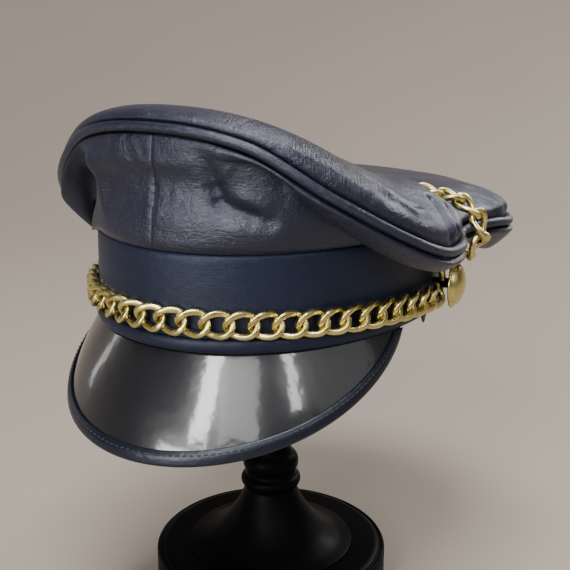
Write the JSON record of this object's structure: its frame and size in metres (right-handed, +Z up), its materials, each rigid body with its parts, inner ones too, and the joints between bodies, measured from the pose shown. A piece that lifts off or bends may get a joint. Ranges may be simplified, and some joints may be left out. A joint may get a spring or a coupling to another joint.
{
  "type": "peaked cap on display stand",
  "caption": "Soft leather peaked cap with a high crushed crown, gilt curb chains, side buttons and a patent peak, on a turned display stand.",
  "frame": {"origin": "centre of the underside of the stand's base", "axes": "+X to the wearer's left, +Y to the back of the cap, so the peak points to -Y, and +Z up"},
  "size_m": [0.2178, 0.2477, 0.2798],
  "materials": {
    "leather": "soft satin navy-black leather",
    "patent": "glossy black patent leather",
    "gilt": "polished gilt brass",
    "stand": "black satin lacquer"
  },
  "bodies": {
    "root": {"stand_base": "stand", "stand_column": "stand", "stand_pad": "stand", "band": "leather", "band_welt": "leather", "crown_side_left": "leather", "crown_side_right": "leather", "crown_top": "leather", "crown_piping": "leather", "peak": "patent", "peak_binding": "leather", "front_chain": "gilt", "crown_chain": "gilt", "button_left": "gilt", "button_right": "gilt", "side_tab_left": "leather", "side_tab_right": "leather"}
  },
  "joints": []
}
